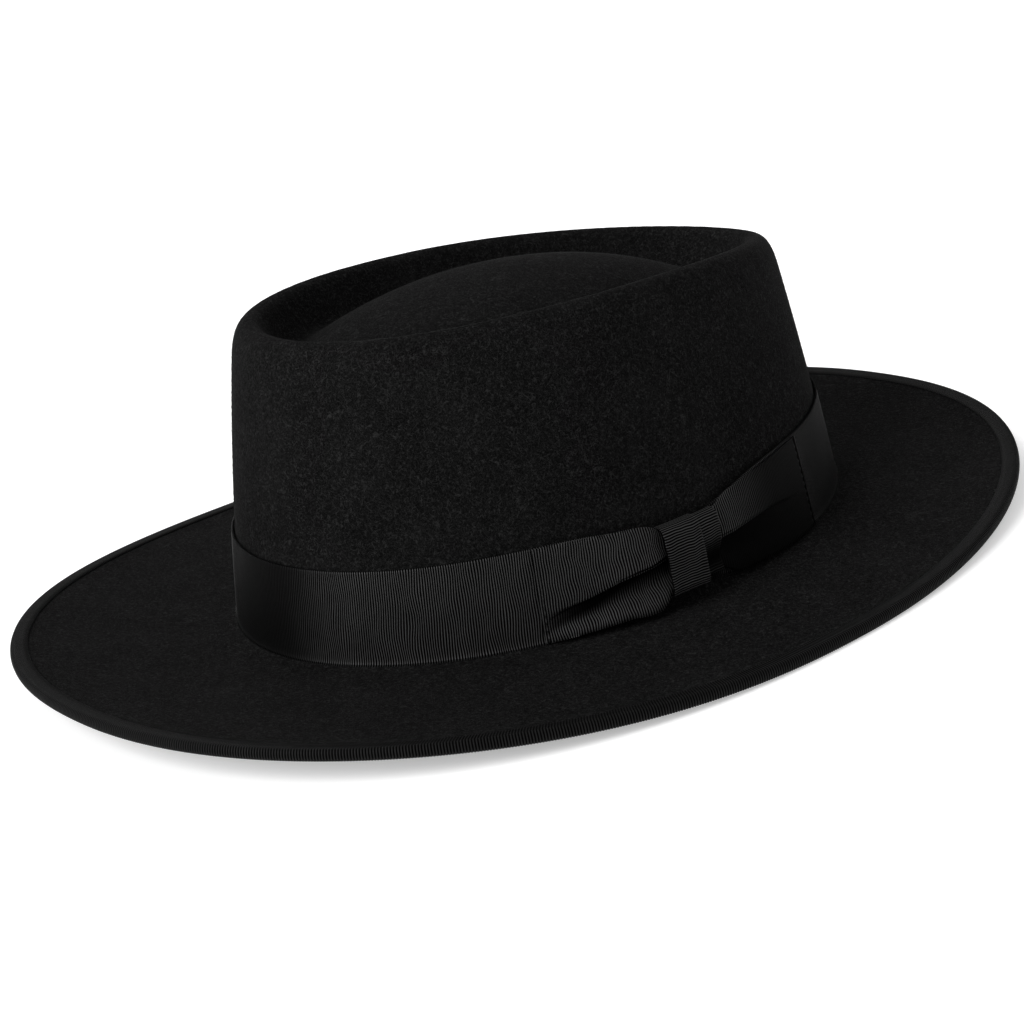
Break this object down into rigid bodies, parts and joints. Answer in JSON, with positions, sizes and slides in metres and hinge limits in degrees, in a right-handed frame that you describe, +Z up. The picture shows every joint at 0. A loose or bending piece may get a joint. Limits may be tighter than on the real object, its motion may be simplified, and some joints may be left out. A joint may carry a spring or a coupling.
{
  "type": "bush hat",
  "caption": "Black felt hat with a telescoped crown, a curled bound brim, a ribbon band and a flat side bow, hollow for the head.",
  "frame": {"origin": "on the surface that the hat rests on, under the middle of the brim", "axes": "+Z up through the crown, +Y towards the back of the hat, +X towards the wearer's left, where the bow is"},
  "size_m": [0.2794, 0.3352, 0.0946],
  "materials": {
    "felt": "matte black felt with a short soft nap",
    "grosgrain_band": "black ribbed ribbon with a low sheen",
    "grosgrain_binding": "black ribbed ribbon folded round the edge"
  },
  "bodies": {
    "root": {"felt_body": "felt", "brim_binding": "grosgrain_binding", "hat_band": "grosgrain_band", "bow_front_wing": "grosgrain_band", "bow_back_wing": "grosgrain_band", "bow_knot": "grosgrain_band", "bow_second_wrap": "grosgrain_band"}
  },
  "joints": []
}
